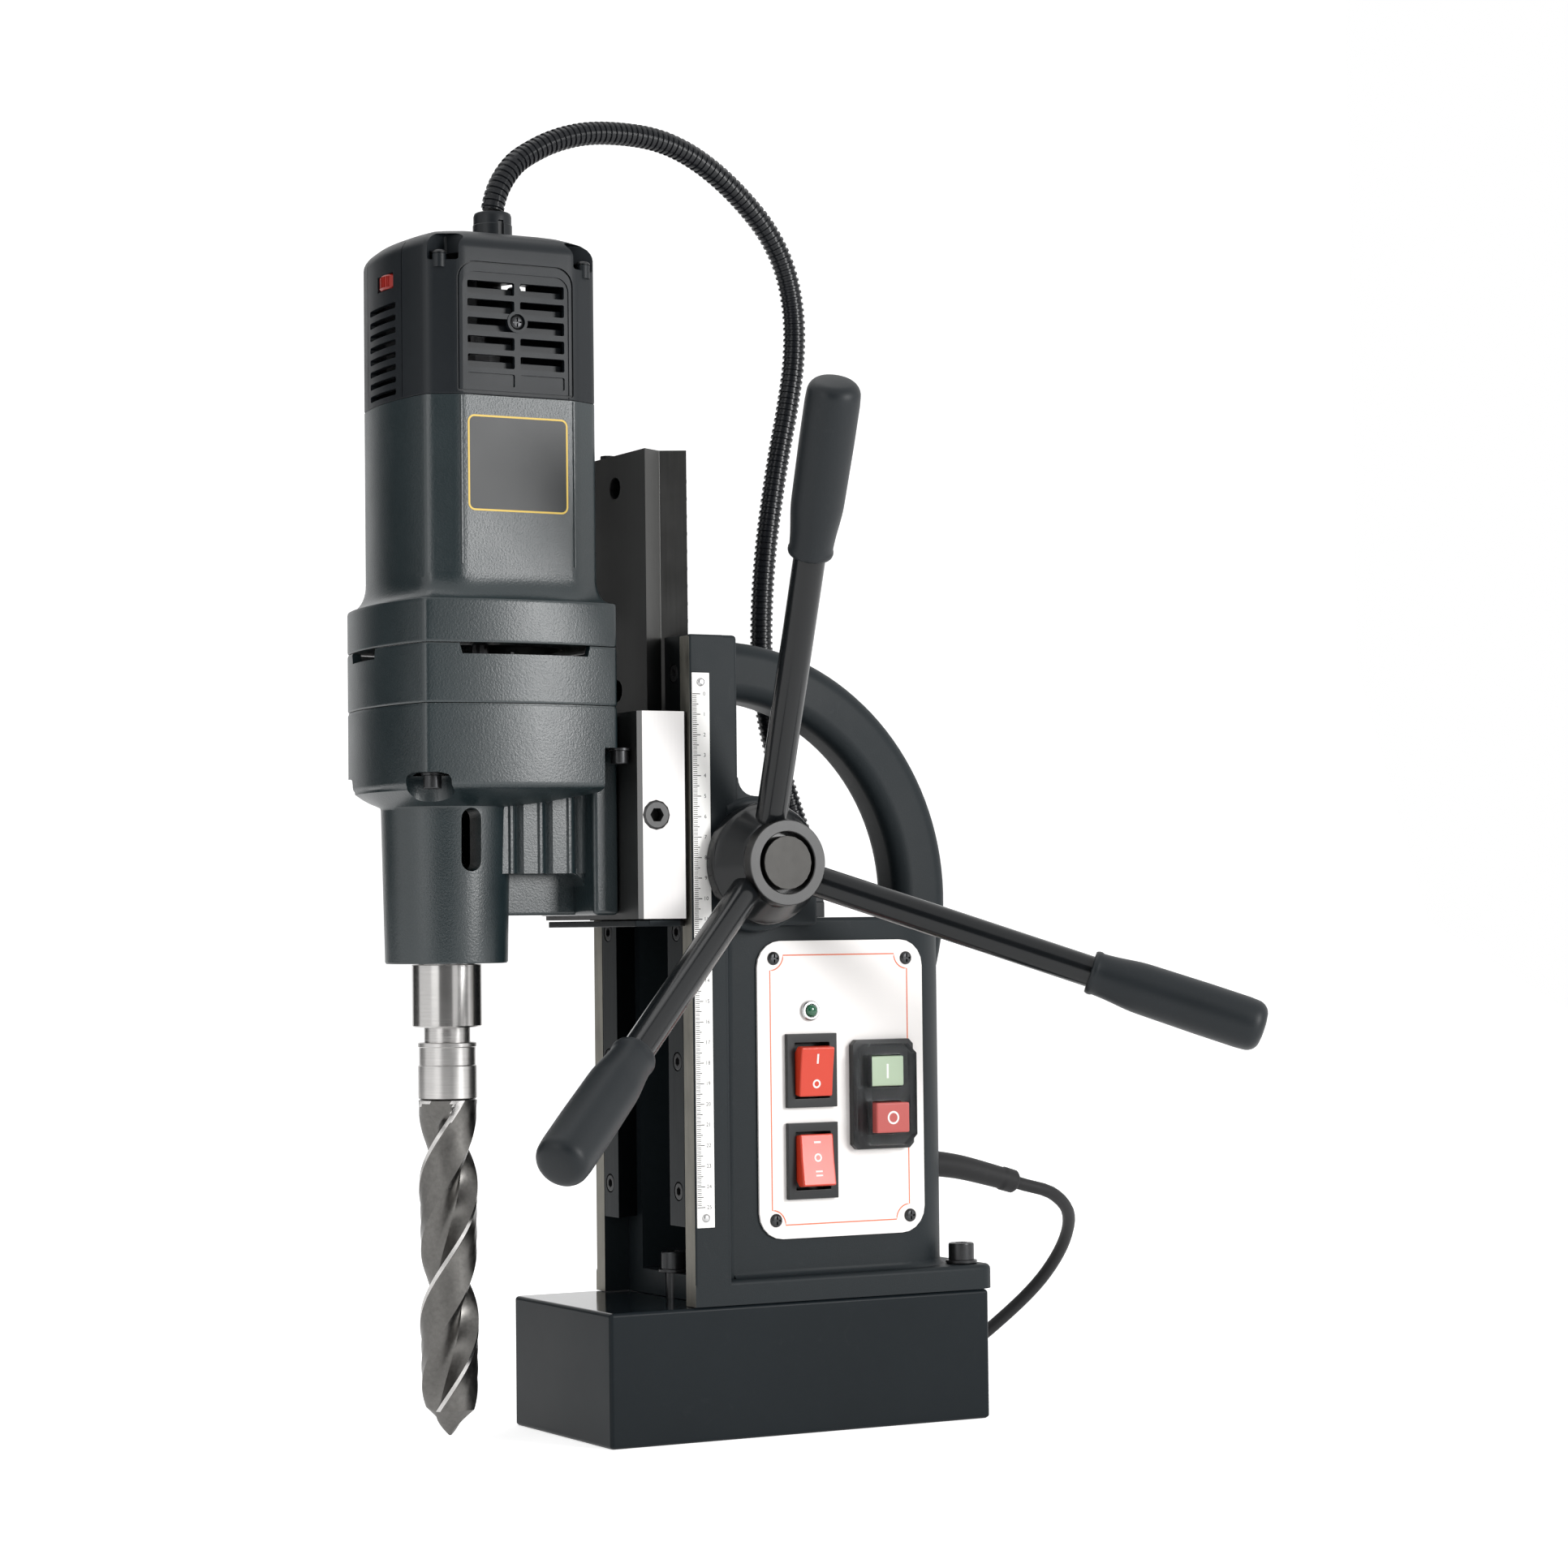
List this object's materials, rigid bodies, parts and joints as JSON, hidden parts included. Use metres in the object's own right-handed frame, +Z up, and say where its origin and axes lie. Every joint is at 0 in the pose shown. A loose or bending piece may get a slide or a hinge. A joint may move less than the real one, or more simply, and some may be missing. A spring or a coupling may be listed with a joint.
{
  "type": "magnetic drill",
  "caption": "Electromagnet base with a cast stand and arched handle, a rack-fed dovetail slide turned by a capstan, and a motor drill head with a twist drill.",
  "frame": {"origin": "centre of the magnet's flat bottom face", "axes": "+Z up along the feed, -Y towards the drill, +X towards the switch panel and the capstan"},
  "size_m": [0.3826, 0.4137, 0.6573],
  "materials": {
    "magnet_black": "gloss",
    "coil_resin": "gloss",
    "black_casting": "satin",
    "panel_white": "satin",
    "lamp_green": "gloss",
    "switch_black": "matte",
    "rocker_red": "gloss",
    "button_green": "satin",
    "button_red": "satin",
    "guard_clear": "gloss",
    "dark_steel": "satin",
    "scale_steel": "satin",
    "black_screw": "satin",
    "bright_steel": "satin",
    "bush_brass": "satin",
    "black_rod": "gloss",
    "grip_black": "matte",
    "green_casting": "satin",
    "cap_black": "matte",
    "dial_red": "satin",
    "polished_steel": "gloss",
    "drill_steel": "satin",
    "rotor_steel": "satin",
    "fan_black": "matte",
    "hose_black": "satin",
    "gland_black": "matte",
    "cord_black": "matte",
    "plug_black": "matte",
    "board_green": "satin"
  },
  "bodies": {
    "stand": {"magnet_body": "magnet_black", "magnet_coil": "coil_resin", "stand_casting": "black_casting", "panel_plate": "panel_white", "indicator_lamp": "lamp_green", "magnet_switch_body": "switch_black", "direction_switch_body": "switch_black", "drill_switch_body": "switch_black", "drill_switch_guard": "guard_clear", "circuit_board": "board_green", "left_gib": "dark_steel", "right_gib": "dark_steel", "ruler": "scale_steel", "front_foot_bolt": "black_screw", "right_foot_bolt": "black_screw", "left_foot_bolt": "black_screw", "front_foot_washer": "black_screw", "right_foot_washer": "black_screw", "left_foot_washer": "black_screw", "outer_bush": "bush_brass", "inner_bush": "bush_brass", "stand_gland": "gland_black", "conduit_hose": "hose_black", "strain_relief": "gland_black", "mains_cord": "cord_black", "cord_coil": "cord_black", "mains_plug": "plug_black"},
    "slide": {"slide_bar": "dark_steel", "feed_rack": "dark_steel", "stop_plate": "dark_steel", "slide_stop_screw": "black_screw"},
    "capstan": {"pinion_shaft": "bright_steel", "capstan_hub": "bright_steel", "spoke_1": "black_rod", "spoke_2": "black_rod", "spoke_3": "black_rod", "grip_1": "grip_black", "grip_2": "grip_black", "grip_3": "grip_black"},
    "drill_head": {"clamp_block": "bright_steel", "gear_housing": "green_casting", "gear_case_cover": "green_casting", "motor_housing": "green_casting", "motor_cap": "cap_black", "head_gland": "gland_black", "lower_bearing": "polished_steel", "upper_bearing": "polished_steel", "stator": "rotor_steel"},
    "spindle_group": {"spindle": "polished_steel", "drill_bit": "drill_steel"},
    "layshaft_group": {"layshaft": "dark_steel"},
    "rotor_group": {"rotor": "rotor_steel", "cooling_fan": "fan_black"},
    "magnet_rocker_group": {"magnet_rocker": "rocker_red"},
    "direction_rocker_group": {"direction_rocker": "rocker_red"},
    "start_button_group": {"start_button": "button_green"},
    "stop_button_group": {"stop_button": "button_red"},
    "speed_dial_group": {"speed_dial": "dial_red"},
    "lock_screw_group": {"lock_screw": "bright_steel"}
  },
  "joints": [
    {"name": "feed_slide", "type": "slide", "parent": "stand", "child": "slide", "axis": [0, 0, 1], "range_m": [-0.15, 0.02], "deforming": ["conduit_hose"]},
    {"name": "capstan_turn", "type": "hinge", "parent": "stand", "child": "capstan", "pos_m": [0, -0.024, 0.2805], "axis": [1, 0, 0], "range_deg": [-82, 614.5]},
    {"name": "head_adjust", "type": "slide", "parent": "slide", "child": "drill_head", "axis": [0, 0, 1], "range_m": [0, 0.12], "deforming": ["conduit_hose"]},
    {"name": "spindle_turn", "type": "hinge", "parent": "drill_head", "child": "spindle_group", "pos_m": [0, -0.1664, 0.25], "axis": [0, 0, 1], "continuous": true},
    {"name": "layshaft_turn", "type": "hinge", "parent": "drill_head", "child": "layshaft_group", "pos_m": [-0.02025, -0.13006, 0.34], "axis": [0, 0, 1], "continuous": true},
    {"name": "rotor_turn", "type": "hinge", "parent": "drill_head", "child": "rotor_group", "pos_m": [0, -0.147, 0.4], "axis": [0, 0, 1], "continuous": true},
    {"name": "magnet_switch", "type": "hinge", "parent": "stand", "child": "magnet_rocker_group", "pos_m": [0.0534, 0.00665, 0.17825], "axis": [0, 1, 0], "range_deg": [-14, 0]},
    {"name": "direction_switch", "type": "hinge", "parent": "stand", "child": "direction_rocker_group", "pos_m": [0.0534, 0.00675, 0.1337], "axis": [0, 1, 0], "range_deg": [0, 14]},
    {"name": "start_press", "type": "slide", "parent": "stand", "child": "start_button_group", "axis": [-1, 0, 0], "range_m": [0, 0.003], "stiffness_N_per_m": 600},
    {"name": "stop_press", "type": "slide", "parent": "stand", "child": "stop_button_group", "axis": [-1, 0, 0], "range_m": [0, 0.003], "stiffness_N_per_m": 600},
    {"name": "speed_dial_turn", "type": "hinge", "parent": "drill_head", "child": "speed_dial_group", "pos_m": [0.001, -0.1858, 0.565], "axis": [0, 0, 1], "range_deg": [-135, 135]},
    {"name": "lock_screw_turn", "type": "hinge", "parent": "drill_head", "child": "lock_screw_group", "pos_m": [0.05, -0.079, 0.3044], "axis": [1, 0, 0], "range_deg": [0, 180]}
  ],
  "couplings": [
    {"joint": "capstan_turn", "follows": "feed_slide", "rad_per_m": -71.429},
    {"joint": "layshaft_turn", "follows": "spindle_turn", "ratio": -2.2},
    {"joint": "rotor_turn", "follows": "spindle_turn", "ratio": 6.6}
  ]
}
